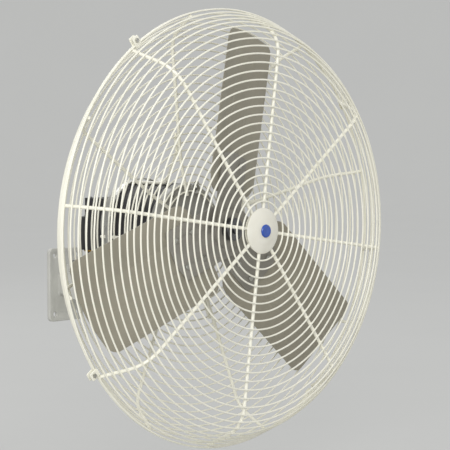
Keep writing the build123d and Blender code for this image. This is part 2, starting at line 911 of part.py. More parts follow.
box_screw_places = [(0, side * (box_length / 2 - box_wall - cover_boss_radius + fit)) for side in (-1, 1)]
knob_place = (0, -box_length * 0.18)
with BuildPart() as terminal_box:
    with BuildSketch(box_plane(box_top)):
        RectangleRounded(box_width, box_length, box_corner)
    extrude(amount=-box_height - motor_radius * 0.2)
    with BuildSketch(box_plane(box_top)):
        RectangleRounded(box_width - 2 * box_wall, box_length - 2 * box_wall, box_corner - box_wall)
    extrude(amount=-box_height + 2 * box_wall, mode=Mode.SUBTRACT)
    add(shell_space.part, mode=Mode.SUBTRACT)
    with BuildSketch(box_plane(box_top)):
        with Locations(*box_screw_places):
            Circle(cover_boss_radius)
    extrude(amount=-cover_screw_length + box_wall - cover_boss_floor)
    with BuildSketch(box_plane(box_top)):
        with Locations(*box_screw_places):
            Circle(cover_screw / 2 + running_fit)
    extrude(amount=-cover_screw_length + box_wall, mode=Mode.SUBTRACT)
    with Locations(box_plane(box_top - gland_drop)):
        with Locations((0, box_length / 2)):
            Cylinder(gland_thread / 2 + fit, 4 * box_wall, rotation=(90, 0, 0), mode=Mode.SUBTRACT)
save(terminal_box, "terminal_box")

with BuildPart() as terminal_cover:
    with BuildSketch(box_plane(box_top + fit)):
        RectangleRounded(box_width, box_length, box_corner)
        with Locations(knob_place):
            Circle(knob_stem / 2 + running_fit, mode=Mode.SUBTRACT)
        with Locations(*box_screw_places):
            Circle(cover_screw / 2 + running_fit, mode=Mode.SUBTRACT)
    extrude(amount=box_wall)
    outer_face = terminal_cover.faces().sort_by(lambda f: Vector(*box_out).dot(f.center()))[-1]
    chamfer(outer_face.outer_wire().edges(), cover_chamfer)
save(terminal_cover, "terminal_cover")

with BuildPart() as capacitor:
    with Locations(box_plane(box_top - capacitor_radius - 2 * box_wall)):
        with Locations((capacitor_radius + capacitor_gap + box_wall - box_width / 2, capacitor_offset)):
            Cylinder(capacitor_radius, capacitor_length, rotation=(90, 0, 0))
    fillet(capacitor.edges().filter_by(GeomType.CIRCLE), capacitor_corner)
save(capacitor, "capacitor")

gland_frame = Plane(
    origin=box_plane(box_top - gland_drop).from_local_coords((0, box_length / 2 + fit, 0)),
    x_dir=box_plane(box_top).x_dir,
    z_dir=(0, 1, 0),
)
with BuildPart() as cable_gland:
    with BuildSketch(gland_frame):
        RegularPolygon(gland_nut / 2, 6)
    extrude(amount=gland_nut_height)
    with BuildSketch(gland_frame.offset(gland_nut_height)):
        Circle(gland_thread / 2 - gland_step)
    extrude(amount=gland_length - gland_nut_height, taper=gland_taper)
    with BuildSketch(gland_frame):
        Circle(gland_thread / 2)
    extrude(amount=-box_wall - gland_tail)
    with BuildSketch(gland_frame.offset(gland_length)):
        Circle(gland_bore / 2)
    extrude(amount=-gland_length - box_wall - 2 * gland_tail, mode=Mode.SUBTRACT)
save(cable_gland, "cable_gland")

knob_plane = Plane(
    origin=box_plane(box_top + box_wall + knob_gap).from_local_coords((*knob_place, 0)),
    x_dir=box_plane(box_top).x_dir,
    z_dir=box_out,
)
with BuildPart() as speed_knob:
    with BuildSketch(knob_plane):
        Circle(knob_radius)
    extrude(amount=knob_skirt)
    with BuildSketch(knob_plane.offset(knob_skirt)):
        RectangleRounded(2 * knob_radius - knob_grip / 3, knob_grip, knob_grip * 0.4)
    extrude(amount=knob_height - knob_skirt)
    with BuildSketch(knob_plane):
        Circle(knob_stem / 2)
    extrude(amount=-box_wall - knob_stem_reach)
save(speed_knob, "speed_knob")

# Oscillator gearbox

casting_x = (casting_right - casting_left) / 2
casting_width = casting_right + casting_left
casting_depth = casting_back - casting_front
casting_middle = (casting_front + casting_back) / 2
casting_height = casting_top + casting_bottom
foot_places = [(x, z) for x in (-foot_x, foot_x) for z in (foot_low, foot_high)]
lid_screw_x = casting_width / 2 - casting_wall - cover_boss_radius / 4
lid_screw_y = casting_depth / 2 - lid_screw_margin
lid_screw_places = [(x, y) for x in (-lid_screw_x, lid_screw_x) for y in (-lid_screw_y, lid_screw_y)]
with BuildPart() as gearbox_housing:
    with BuildSketch(level_plane(casting_middle, -casting_bottom, casting_x)):
        RectangleRounded(casting_width, casting_depth, casting_corner)
    extrude(amount=casting_height)
    with BuildSketch(fan_plane(casting_front)):
        with Locations(*foot_places):
            Circle(foot_radius)
    extrude(amount=standoff - fit)
    with BuildSketch(level_plane(spindle_depth, swivel_boss_bottom)):
        Circle(swivel_boss_radius)
        with Locations((0, -swivel_boss_radius * 0.75)):
            Rectangle(1.5 * swivel_boss_radius, 1.5 * swivel_boss_radius)
    extrude(amount=swivel_boss_top - swivel_boss_bottom)
    with BuildSketch(level_plane(casting_middle, -casting_bottom + casting_wall, casting_x)):
        RectangleRounded(
            casting_width - 2 * casting_wall, casting_depth - 2 * casting_wall, casting_corner / 2
        )
    extrude(amount=casting_height, mode=Mode.SUBTRACT)
    with BuildSketch(level_plane(casting_middle, casting_top, casting_x)):
        with Locations(*lid_screw_places):
            Circle(cover_boss_radius)
    extrude(amount=-lid_boss_height)
    with BuildSketch(level_plane(casting_middle, casting_top, casting_x)):
        with Locations(*lid_screw_places):
            Circle(cover_screw / 2 + running_fit)
    extrude(amount=-lid_boss_height, mode=Mode.SUBTRACT)
    with BuildSketch(fan_plane(casting_front - standoff)):
        with Locations(*foot_places):
            Circle(foot_screw / 2 + fit)
        Circle(shaft_radius + casting_clearance)
    extrude(amount=-standoff - 2 * casting_wall, mode=Mode.SUBTRACT)
    with BuildSketch(level_plane(spindle_depth, swivel_boss_bottom)):
        Circle(spindle_diameter / 2 + bush_wall + fit)
    extrude(amount=swivel_boss_top - swivel_boss_bottom, mode=Mode.SUBTRACT)
    with BuildSketch(level_plane(crank_depth, -casting_bottom, crank_x)):
        Circle(crank_shaft / 2 + running_fit)
    extrude(amount=casting_wall, mode=Mode.SUBTRACT)
save(gearbox_housing, "gearbox_housing")

foot_screw_piece = screw(foot_screw, casting_wall + standoff + bell_wall, m6_head, m6_head_height)
foot_places_from_behind = [(x, -z) for x, z in foot_places]
with BuildPart() as gearbox_screws:
    with Locations(back_plane(casting_front + casting_wall + weld_gap)):
        with Locations(*foot_places_from_behind):
            add(foot_screw_piece)
save(gearbox_screws, "gearbox_screws")

with BuildPart(mode=Mode.PRIVATE) as rear_bell_holes:
    with BuildSketch(back_plane(motor_back + 1)):
        with Locations(*foot_places_from_behind):
            Circle(foot_screw / 2 + fit)
    extrude(amount=-bell_depth)
rear_bell.part = rear_bell.part - rear_bell_holes.part
save(rear_bell, "rear_bell")

with BuildPart() as gearbox_cover:
    with BuildSketch(level_plane(casting_middle, casting_top + fit, casting_x)):
        RectangleRounded(casting_width, casting_depth, casting_corner)
    extrude(amount=casting_wall)
    chamfer(gearbox_cover.faces().sort_by(Axis.Z)[-1].outer_wire().edges(), cover_chamfer)
    with BuildSketch(level_plane(crank_depth, casting_top, wheel_x)):
        Circle(pinion_shaft / 2 + running_fit)
    extrude(amount=2 * casting_wall, mode=Mode.SUBTRACT)
    with BuildSketch(level_plane(casting_middle, casting_top, casting_x)):
        with Locations(*lid_screw_places):
            Circle(cover_screw / 2 + running_fit)
    extrude(amount=2 * casting_wall, mode=Mode.SUBTRACT)
save(gearbox_cover, "gearbox_cover")

cover_screw_piece = screw(cover_screw, cover_screw_length, cover_screw_head, cover_screw_head_height)
with BuildPart() as cover_screws:
    with Locations(box_plane(box_top + box_wall + 2 * fit)):
        with Locations(*box_screw_places):
            add(cover_screw_piece)
    with Locations(level_plane(casting_middle, casting_top + casting_wall + 2 * fit, casting_x)):
        with Locations(*lid_screw_places):
            add(cover_screw_piece)
save(cover_screws, "cover_screws")

worm_start = crank_depth - worm_turns / 2 * worm_lead
worm_root = worm_radius - gear_module
thread_height = thread_sink + thread_reach * gear_module
with BuildPart() as worm:
    with BuildSketch(Plane.XY.offset(-worm_shoulder)):
        Circle(worm_root)
    extrude(amount=worm_length + 2 * worm_shoulder)
    with BuildLine() as thread_path:
        Helix(worm_lead, worm_length, worm_root - thread_sink)
    with BuildSketch(Plane(origin=thread_path.line @ 0, x_dir=(1, 0, 0), z_dir=thread_path.line % 0)):
        with BuildLine():
            Polyline(
                (0, -thread_foot * worm_lead),
                (thread_height, -thread_crest * worm_lead),
                (thread_height, thread_crest * worm_lead),
                (0, thread_foot * worm_lead),
                close=True,
            )
        make_face()
    sweep(is_frenet=True)
    with BuildSketch(Plane.XY.offset(-worm_lead)):
        Circle(shaft_radius + fit)
    extrude(amount=worm_length + 2 * worm_lead, mode=Mode.SUBTRACT)
    with BuildSketch(Plane.XY.offset(-worm_shoulder)):
        Circle(2 * worm_radius)
    extrude(amount=worm_length + 2 * worm_shoulder, mode=Mode.INTERSECT)
worm.part = worm.part.moved(back_plane(worm_start).location)
save(worm, "worm")

with BuildPart() as worm_wheel:
    with Locations(level_plane(crank_depth, 0, wheel_x)):
        add(gear(worm_teeth, wheel_width, pinion_shaft + 2 * running_fit), rotation=(0, 0, 180 / worm_teeth))
save(worm_wheel, "worm_wheel")

knob_level = casting_top + casting_wall + clutch_gap
pinion_top = knob_level + clutch_grip
with BuildPart() as pinion:
    with Locations(level_plane(crank_depth, gear_level, wheel_x)):
        add(gear(pinion_teeth, gear_width + 2, pinion_shaft / 2))
    with BuildSketch(level_plane(crank_depth, casting_wall - casting_bottom + shaft_end_gap, wheel_x)):
        Circle(pinion_shaft / 2)
    extrude(amount=pinion_top + casting_bottom - casting_wall)
    chamfer(pinion.edges().group_by(Axis.Z)[-1], shaft_end_chamfer)
save(pinion, "pinion")

with BuildPart() as clutch_knob:
    with BuildSketch(level_plane(crank_depth, knob_level, wheel_x)):
        Circle(clutch_knob_radius * clutch_waist)
    extrude(amount=clutch_knob_height)
    with BuildSketch(level_plane(crank_depth, knob_level + clutch_knob_height / 2, wheel_x)):
        Circle(clutch_knob_radius)
    extrude(amount=clutch_knob_height / 2)
    fillet(clutch_knob.edges().group_by(Axis.Z)[-1], clutch_corner)
    with BuildSketch(level_plane(crank_depth, knob_level, wheel_x)):
        Circle(pinion_shaft / 2 + running_fit)
    extrude(amount=clutch_grip + 2 * shaft_end_gap, mode=Mode.SUBTRACT)
save(clutch_knob, "clutch_knob")

with BuildPart() as crank_gear:
    with Locations(level_plane(crank_depth, gear_level, crank_x)):
        add(gear(crank_teeth, gear_width, crank_shaft / 2), rotation=(0, 0, 180 / crank_teeth))
    with BuildSketch(level_plane(crank_depth, disc_level + disc_thickness / 2, crank_x)):
        Circle(crank_shaft / 2)
    extrude(amount=gear_level + gear_width / 2 - disc_level)
save(crank_gear, "crank_gear")

# Swing linkage: the four pivots seen from above, with the head straight ahead

spindle_to_crank = math.hypot(crank_x, crank_to_spindle)
crank_bearing = math.degrees(math.atan2(-crank_to_spindle, crank_x))
anchor_bearing = crank_bearing + 90


def crank_to_anchor(opening):
    """Distance between crank shaft and anchor pin at an opening angle of the two arms."""
    cosine = math.cos(math.radians(opening))
    return math.sqrt(spindle_to_crank**2 + anchor_arm**2 - 2 * spindle_to_crank * anchor_arm * cosine)


link_length = (crank_to_anchor(90 + swing) + crank_to_anchor(90 - swing)) / 2
crank_throw = (crank_to_anchor(90 + swing) - crank_to_anchor(90 - swing)) / 2
anchor_x = anchor_arm * math.cos(math.radians(anchor_bearing))
anchor_depth = spindle_depth + anchor_arm * math.sin(math.radians(anchor_bearing))
rest_reach = crank_to_anchor(90)
rest_angle = math.degrees(math.atan2(anchor_depth - crank_depth, anchor_x - crank_x)) - math.degrees(
    math.acos((crank_throw**2 + rest_reach**2 - link_length**2) / (2 * crank_throw * rest_reach))
)
pin_x = crank_x + crank_throw * math.cos(math.radians(rest_angle))
pin_depth = crank_depth + crank_throw * math.sin(math.radians(rest_angle))
link_angle = math.degrees(math.atan2(pin_depth - anchor_depth, pin_x - anchor_x))
link_top = disc_level - disc_thickness

with BuildPart() as crank_disc:
    with BuildSketch(level_plane(crank_depth, disc_level, crank_x)):
        Circle(crank_throw + eye_radius * 0.9)
        Circle(crank_shaft / 2 + fit, mode=Mode.SUBTRACT)
    extrude(amount=disc_thickness)
    with BuildSketch(level_plane(pin_depth, disc_level, pin_x)):
        Circle(link_pin / 2)
    extrude(amount=-(disc_level - link_top - link_gap))
save(crank_disc, "crank_disc")

with BuildPart() as crank_link:
    with BuildSketch(level_plane(anchor_depth, link_top - link_thickness, anchor_x)):
        with Locations(Location((0, 0, 0), (0, 0, link_angle))):
            with Locations((link_length / 2, 0)):
                Rectangle(link_length, link_width)
            with Locations((0, 0), (link_length, 0)):
                Circle(eye_radius)
            with Locations((0, 0), (link_length, 0)):
                Circle(link_pin / 2 + running_fit, mode=Mode.SUBTRACT)
    extrude(amount=link_thickness)
save(crank_link, "crank_link")

with BuildPart() as anchor_pin:
    with BuildSketch(level_plane(anchor_depth, flange_top - pin_seat, anchor_x)):
        Circle(link_pin / 2)
    extrude(amount=link_top + 2 * pin_play - flange_top + pin_seat)
    with BuildSketch(level_plane(anchor_depth, link_top + pin_play, anchor_x)):
        Circle(link_pin / 2 + pin_collar)
    extrude(amount=pin_collar)
    with BuildSketch(level_plane(anchor_depth, flange_top + weld_gap, anchor_x)):
        Circle(link_pin / 2 + pin_collar)
    extrude(amount=link_top - link_thickness - flange_top - pin_play)
save(anchor_pin, "anchor_pin")

# Spindle, neck block and tilt joint

spindle_bottom = flange_top - spindle_seat
spindle_top = swivel_boss_top + spindle_end
with BuildPart() as swivel_spindle:
    with BuildSketch(level_plane(spindle_depth, spindle_bottom)):
        Circle(spindle_diameter / 2)
    extrude(amount=spindle_top - spindle_bottom)
    chamfer(swivel_spindle.edges().filter_by(GeomType.CIRCLE), spindle_chamfer)
save(swivel_spindle, "swivel_spindle")

with BuildPart() as spindle_bushes:
    for level in (swivel_boss_bottom, swivel_boss_top - bush_length):
        with BuildSketch(level_plane(spindle_depth, level)):
            Circle(spindle_diameter / 2 + bush_wall)
            Circle(spindle_diameter / 2 + running_fit, mode=Mode.SUBTRACT)
        extrude(amount=bush_length)
save(spindle_bushes, "spindle_bushes")

with BuildPart() as spindle_nut:
    with BuildSketch(level_plane(spindle_depth, swivel_boss_top + swivel_play)):
        Circle(thrust_radius)
        Circle(spindle_diameter / 2 + fit, mode=Mode.SUBTRACT)
    extrude(amount=top_washer)
    with BuildSketch(level_plane(spindle_depth, swivel_boss_top + swivel_play + top_washer)):
        RegularPolygon(top_nut_radius, 6)
        Circle(spindle_diameter / 2 + fit, mode=Mode.SUBTRACT)
    extrude(amount=top_nut_height)
save(spindle_nut, "spindle_nut")

neck_top = swivel_boss_bottom - swivel_play - thrust_thickness
with BuildPart() as thrust_washer:
    with BuildSketch(level_plane(spindle_depth, neck_top + weld_gap)):
        Circle(thrust_radius)
        Circle(spindle_diameter / 2 + fit, mode=Mode.SUBTRACT)
    extrude(amount=thrust_thickness - weld_gap)
save(thrust_washer, "thrust_washer")

with BuildPart() as neck_block:
    with BuildSketch(level_plane(spindle_depth, flange_top - flange_thickness)):
        Circle(flange_radius)
    extrude(amount=flange_thickness)
    fillet(neck_block.edges().filter_by(GeomType.CIRCLE), neck_edge)
    with BuildSketch(level_plane(spindle_depth, flange_top)):
        Circle(neck_radius)
    extrude(amount=neck_top - flange_top)
    with BuildSketch(level_plane(spindle_depth, tilt_level)):
        Rectangle(stem_width, stem_depth)
    extrude(amount=flange_top - flange_thickness - tilt_level)
    with Locations(level_plane(spindle_depth, tilt_level)):
        Cylinder(tilt_radius, stem_width, rotation=(0, 90, 0))
        Cylinder(tilt_bolt / 2 + running_fit, stem_width, rotation=(0, 90, 0), mode=Mode.SUBTRACT)
    with BuildSketch(level_plane(spindle_depth, spindle_bottom - fit)):
        Circle(spindle_diameter / 2 + fit)
    extrude(amount=neck_top - spindle_bottom + fit, mode=Mode.SUBTRACT)
    with BuildSketch(level_plane(anchor_depth, flange_top - pin_seat - fit, anchor_x)):
        Circle(link_pin / 2 + fit)
    extrude(amount=flange_thickness, mode=Mode.SUBTRACT)
save(neck_block, "neck_block")

ear_inner = stem_width / 2 + ear_gap
ear_outer = ear_inner + ear_thickness
clevis_back = spindle_depth + clevis_reach + ear_thickness
side_plane = Plane(
    origin=(0, spindle_depth - wall_distance, axis_height + tilt_level), x_dir=(0, 1, 0), z_dir=(1, 0, 0)
)
with BuildPart() as arm_clevis:
    for start in (-ear_outer, ear_inner):
        with BuildSketch(side_plane.offset(start)):
            Circle(ear_radius)
            with Locations((clevis_reach / 2 + ear_thickness / 2, 0)):
                Rectangle(clevis_reach + ear_thickness, 2 * ear_radius)
            Circle(tilt_bolt / 2 + fit, mode=Mode.SUBTRACT)
        extrude(amount=ear_thickness)
    with BuildSketch(side_plane.offset(-ear_outer)):
        with Locations((clevis_reach + ear_thickness / 2, 0)):
            Rectangle(ear_thickness, clevis_height)
    extrude(amount=2 * ear_outer)
save(arm_clevis, "arm_clevis")

arm_plane = Plane(origin=(0, clevis_back + weld_gap - wall_distance, 0), x_dir=(1, 0, 0), z_dir=(0, 1, 0))
arm_bore = arm_size - 2 * arm_wall
with BuildPart() as wall_arm:
    with BuildSketch(arm_plane):
        RectangleRounded(arm_size, arm_size, arm_corner)
        RectangleRounded(arm_bore, arm_bore, arm_corner / 2, mode=Mode.SUBTRACT)
    extrude(amount=arm_length - 2 * weld_gap)
save(wall_arm, "wall_arm")

wall_plane = Plane(origin=(0, 0, 0), x_dir=(1, 0, 0), z_dir=(0, -1, 0))
with BuildPart() as wall_plate:
    with BuildSketch(wall_plane):
        RectangleRounded(plate_width, plate_height, plate_corner)
        with GridLocations(plate_hole_x, plate_hole_z, 2, 2):
            Circle(plate_hole / 2, mode=Mode.SUBTRACT)
    extrude(amount=plate_thickness)
    chamfer(wall_plate.faces().sort_by(Axis.Y)[0].outer_wire().edges(), plate_edge)
save(wall_plate, "wall_plate")

with BuildPart() as arm_gussets:
    for side in (1, -1):
        with BuildSketch(Plane(origin=(-gusset_thickness / 2, 0, 0), x_dir=(0, -1, 0), z_dir=(1, 0, 0))):
            with BuildLine():
                Polyline(
                    (plate_thickness + weld_gap, -side * (arm_size / 2 + weld_gap)),
                    (plate_thickness + gusset_reach, -side * (arm_size / 2 + weld_gap)),
                    (plate_thickness + gusset_reach, -side * (arm_size / 2 + gusset_nose)),
                    (plate_thickness + gusset_foot, -side * (arm_size / 2 + gusset_height)),
                    (plate_thickness + weld_gap, -side * (arm_size / 2 + gusset_height)),
                    close=True,
                )
            make_face()
        extrude(amount=gusset_thickness)
save(arm_gussets, "arm_gussets")

tilt_plane = Plane(
    origin=(-ear_outer - weld_gap, spindle_depth - wall_distance, axis_height + tilt_level),
    x_dir=(0, 1, 0),
    z_dir=(-1, 0, 0),
)
with BuildPart() as tilt_pivot_bolt:
    with Locations(tilt_plane.offset(tilt_washer + weld_gap)):
        add(screw(tilt_bolt, 2 * ear_outer + tilt_bolt_tail, tilt_bolt_head, tilt_bolt_head_height))
save(tilt_pivot_bolt, "tilt_pivot_bolt")

with BuildPart() as tilt_washers:
    for plane in (tilt_plane, side_plane.offset(ear_outer + weld_gap)):
        with BuildSketch(plane):
            Circle(tilt_bolt)
            Circle(tilt_bolt / 2 + fit, mode=Mode.SUBTRACT)
        extrude(amount=tilt_washer)
save(tilt_washers, "tilt_washers")

lever_plane = side_plane.offset(ear_outer + tilt_washer + 3 * weld_gap)
with BuildPart() as tilt_lever:
    with BuildSketch(lever_plane):
        Circle(lever_boss_radius)
    extrude(amount=lever_boss_height)
    with BuildSketch(lever_plane.offset(lever_offset)):
        with Locations((lever_length / 2, 0)):
            SlotCenterToCenter(lever_length, lever_width)
    extrude(amount=lever_grip)
    fillet(tilt_lever.edges().group_by(Axis.X)[-1], lever_edge)
    with BuildSketch(lever_plane):
        Circle(tilt_bolt / 2 + fit)
    extrude(amount=lever_boss_height, mode=Mode.SUBTRACT)
save(tilt_lever, "tilt_lever")
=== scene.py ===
import json
import math

import bmesh
import bpy
import numpy as np
from mathutils import Matrix, Quaternion, Vector


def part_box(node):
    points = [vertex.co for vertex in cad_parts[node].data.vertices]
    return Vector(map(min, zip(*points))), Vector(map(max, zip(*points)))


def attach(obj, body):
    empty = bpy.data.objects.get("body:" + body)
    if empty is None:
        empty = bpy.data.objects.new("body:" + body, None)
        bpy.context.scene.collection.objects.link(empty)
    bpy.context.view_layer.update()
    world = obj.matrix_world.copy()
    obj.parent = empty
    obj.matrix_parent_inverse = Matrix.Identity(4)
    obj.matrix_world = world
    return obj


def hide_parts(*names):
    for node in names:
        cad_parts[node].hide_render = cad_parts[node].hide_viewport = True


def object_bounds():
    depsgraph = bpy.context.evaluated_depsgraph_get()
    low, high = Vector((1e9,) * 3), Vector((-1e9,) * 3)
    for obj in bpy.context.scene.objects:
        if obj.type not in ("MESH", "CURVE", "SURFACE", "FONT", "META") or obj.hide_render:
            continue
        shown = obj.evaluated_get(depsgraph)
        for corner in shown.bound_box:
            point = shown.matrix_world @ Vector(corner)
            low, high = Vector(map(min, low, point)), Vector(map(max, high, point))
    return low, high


# Metres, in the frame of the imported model: +Z up, the fan blows towards -Y. The fan's own
# axis runs along Y. A depth is counted backwards along it from the front guard's flat rings.
# A turn is in degrees clockwise from the top, seen from the front.

MM = 0.001

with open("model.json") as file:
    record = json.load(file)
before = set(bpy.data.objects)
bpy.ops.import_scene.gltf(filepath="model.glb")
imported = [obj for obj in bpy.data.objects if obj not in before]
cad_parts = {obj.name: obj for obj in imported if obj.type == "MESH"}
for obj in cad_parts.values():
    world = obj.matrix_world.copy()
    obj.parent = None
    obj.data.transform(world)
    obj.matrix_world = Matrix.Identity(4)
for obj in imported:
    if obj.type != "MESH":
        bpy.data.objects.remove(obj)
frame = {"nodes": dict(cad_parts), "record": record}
cad_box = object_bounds()


# Sizes and turns of the part that the frame doesn't name

ring_wire = 3.2 * MM
guard_spokes = 8
front_turn = 8.0
rear_turn = front_turn - 180.0 / guard_spokes
box_turn = 120.5

# Studio

backdrop_tone = "#c9cac9"
backdrop_evenness = 0.7
floor_gap = 0.05
bowl_flat = 8.0
bowl_rise = 3.0
bowl_steps = 14
bowl_turns = 96
sky_tone = "#f6f6f5"
sky_strength = 0.62
key_power = 92
fill_power = 6
back_power = 24

# Each light's place from the point it faces, its width, and its power
studio_lights = {
    "key": ((-2.9, -2.2, 1.3), 2.2, key_power),
    "fill": ((2.4, -2.0, 0.8), 2.4, fill_power),
    "back": ((0.6, 2.6, 2.2), 2.0, back_power),
}
aim_depth = 0.1

# Camera, in pixels of the 450 pixel picture

camera_azimuth = math.radians(-46.43)
camera_elevation = math.radians(3.21)
axis_distance = 2.883
picture_px = 450.0
focal_px = 1587.0
centre_right_px = 38.1
centre_down_px = 5.9
sensor_mm = 36.0


def middle(node):
    """The middle of a node's box."""
    low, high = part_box(node)
    return (low + high) / 2


def points_of(node):
    """A node's vertices as rows."""
    mesh = frame["nodes"][node].data
    flat = np.empty(3 * len(mesh.vertices))
    mesh.vertices.foreach_get("co", flat)
    return flat.reshape(-1, 3)


axis_height = middle("motor_shaft").z
face_y = float(points_of("front_guard_rings")[:, 1].min()) + ring_wire / 2
fan_front = Vector((0.0, face_y, axis_height))
fan_axis = Vector((0.0, 1.0, 0.0))
same_wire = 1.2 * ring_wire


def outward(turn):
    """Unit vector away from the fan's axis."""
    angle = math.radians(turn)
    return Vector((math.sin(angle), 0.0, math.cos(angle)))


def on_fan(turn, radius, depth):
    """A point of the fan head."""
    return fan_front + radius * outward(turn) + depth * fan_axis


def reach(node, direction):
    """How far a node reaches from the fan's front centre in a direction."""
    return float((points_of(node) @ np.array(direction)).max() - fan_front.dot(direction))


def ring_wires(node):
    """Radius and depth of each ring wire of a node, from the middle outwards."""
    places = points_of(node) - np.array(fan_front)
    section = np.stack([np.hypot(places[:, 0], places[:, 2]), places[:, 1]], axis=1)
    wires = []
    while len(section):
        near = np.hypot(*(section - section[0]).T) < same_wire
        centre = (section[near].min(axis=0) + section[near].max(axis=0)) / 2
        wires.append(tuple(centre.tolist()))
        section = section[~near]
    return sorted(wires)


# Materials. Noise seldom leaves the middle of its range, so each use cuts out the span it needs

patch_from = 0.3
patch_to = 0.7
speck_from = 0.62
speck_to = 0.72
speck_cover = 0.6
coat_rough = 0.2

# Wear: how far from a sharp edge it reaches, the cosines between which it grows, and its most

edge_reach = 1.6 * MM
edge_from = 0.99
edge_to = 0.86
edge_wear = 0.55


def colour(code):
    """Linear colour of an sRGB hex code."""
    parts = [int(code[i : i + 2], 16) / 255 for i in (1, 3, 5)]
    return [p / 12.92 if p <= 0.04045 else ((p + 0.055) / 1.055) ** 2.4 for p in parts] + [1.0]


def put(tree, kind, sockets=None, **settings):
    """Adds a node with its settings. A socket takes a value or another node's output."""
    node = tree.nodes.new(kind)
    for name, value in settings.items():
        setattr(node, name, value)
    for name, value in (sockets or {}).items():
        if isinstance(value, bpy.types.NodeSocket):
            tree.links.new(value, node.inputs[name])
        else:
            node.inputs[name].default_value = value
    return node


def surface(
    name,
    base,
    shade,
    rough,
    patch,
    grain,
    bump,
    metallic=0.0,
    coat=0.0,
    along=(1.0, 1.0, 1.0),
    swing=0.07,
    speck=None,
    worn=None,
):
    """A finish of two tones in patches of a size, with grain of a size in its relief.

    patch, grain and bump are millimetres. along stretches patches and grain. swing is how far
    the roughness goes to either side of rough. speck is a colour and a size of small spots,
    worn is the colour that shows along sharp edges.
    """
    material = bpy.data.materials.new(name)
    material.use_nodes = True
    tree = material.node_tree
    shader = tree.nodes["Principled BSDF"]
    shader.inputs["Metallic"].default_value = metallic
    shader.inputs["Coat Weight"].default_value = coat
    shader.inputs["Coat Roughness"].default_value = coat_rough
    place = put(tree, "ShaderNodeTexCoord").outputs["Object"]

    patch_scale = [a / (patch * MM) for a in along]
    wide = put(tree, "ShaderNodeMapping", {"Vector": place, "Scale": patch_scale})
    cloud = {"Vector": wide.outputs[0], "Scale": 1.0, "Detail": 4.0}
    patches = put(tree, "ShaderNodeTexNoise", cloud).outputs["Fac"]
    span = {"Value": patches, "From Min": patch_from, "From Max": patch_to}
    mixing = put(tree, "ShaderNodeMapRange", span).outputs["Result"]
    tone = put(tree, "ShaderNodeMix", {"Factor": mixing}, data_type="RGBA")
    tone.inputs["A"].default_value = colour(base)
    tone.inputs["B"].default_value = colour(shade)
    tint = tone.outputs["Result"]
    if speck:
        cloud = {"Vector": place, "Scale": 1 / (speck[1] * MM), "Detail": 2.0}
        dots = put(tree, "ShaderNodeTexNoise", cloud).outputs["Fac"]
        span = {"Value": dots, "From Min": speck_from, "From Max": speck_to, "To Max": speck_cover}
        spots = put(tree, "ShaderNodeMapRange", span).outputs["Result"]
        layer = put(tree, "ShaderNodeMix", {"Factor": spots}, data_type="RGBA")
        tree.links.new(tint, layer.inputs["A"])
        layer.inputs["B"].default_value = colour(speck[0])
        tint = layer.outputs["Result"]
    if worn:
        rounded = put(tree, "ShaderNodeBevel", {"Radius": edge_reach}, samples=4)
        flat = put(tree, "ShaderNodeNewGeometry").outputs["Normal"]
        normals = {0: rounded.outputs["Normal"], 1: flat}
        facing = put(tree, "ShaderNodeVectorMath", normals, operation="DOT_PRODUCT").outputs["Value"]
        span = {"Value": facing, "From Min": edge_from, "From Max": edge_to, "To Max": edge_wear}
        edge = put(tree, "ShaderNodeMapRange", span).outputs["Result"]
        rub = put(tree, "ShaderNodeMath", {0: edge, 1: patches}, operation="MULTIPLY")
        layer = put(tree, "ShaderNodeMix", {"Factor": rub.outputs["Value"]}, data_type="RGBA")
        tree.links.new(tint, layer.inputs["A"])
        layer.inputs["B"].default_value = colour(worn)
        tint = layer.outputs["Result"]
    tree.links.new(tint, shader.inputs["Base Color"])

    span = {"Value": mixing, "To Min": rough - swing, "To Max": rough + swing}
    sheen = put(tree, "ShaderNodeMapRange", span).outputs["Result"]
    tree.links.new(sheen, shader.inputs["Roughness"])
    grain_scale = [a / (grain * MM) for a in along]
    close = put(tree, "ShaderNodeMapping", {"Vector": place, "Scale": grain_scale})
    cloud = {"Vector": close.outputs[0], "Scale": 1.0, "Detail": 2.0}
    height = put(tree, "ShaderNodeTexNoise", cloud).outputs["Fac"]
    relief = put(tree, "ShaderNodeBump", {"Height": height, "Strength": 1.0, "Distance": bump * MM})
    tree.links.new(relief.outputs["Normal"], shader.inputs["Normal"])
    return material


# Powder coat on drawn steel wire: warm white, faint orange peel, a little gloss
powder_coated_wire = surface(
    "powder_coated_wire", "#f8f6ea", "#f1efe0", rough=0.36, patch=60, grain=2.5, bump=0.03, coat=0.25
)
# The same coat on the pressed disc: a touch greyer and duller than on the wire
powder_coated_sheet = surface(
    "powder_coated_sheet", "#f1efe4", "#e8e5d8", rough=0.42, patch=35, grain=2.0, bump=0.03, coat=0.15
)
# Enamel over rolled aluminium sheet: taupe, satin, hardly any relief, broad faint clouds of tone
enamelled_blade = surface(
    "enamelled_blade",
    "#a49f90",
    "#979284",
    rough=0.4,
    patch=130,
    grain=1.2,
    bump=0.02,
    metallic=0.15,
    coat=0.15,
)
# Enamel over pressed steel: greyer and duller than the blades, paler along its edges
enamelled_spider = surface(
    "enamelled_spider", "#96938c", "#89867f", rough=0.48, patch=60, grain=1.6, bump=0.03, worn="#adaaa2"
)
# Machine enamel sprayed on the motor's bells and terminal box: even grey, slight orange peel
machine_enamel = surface(
    "machine_enamel",
    "#a3a29c",
    "#96958f",
    rough=0.42,
    patch=80,
    grain=2.2,
    bump=0.04,
    coat=0.12,
    worn="#bab8b2",
)
# Satin black powder coat on the motor's rolled shell and the gearbox: fine texture, greyer
# where hands and tools rub it
black_powder_coat = surface(
    "black_powder_coat", "#252528", "#1b1b1d", rough=0.5, patch=45, grain=1.4, bump=0.06, worn="#5a5a5c"
)
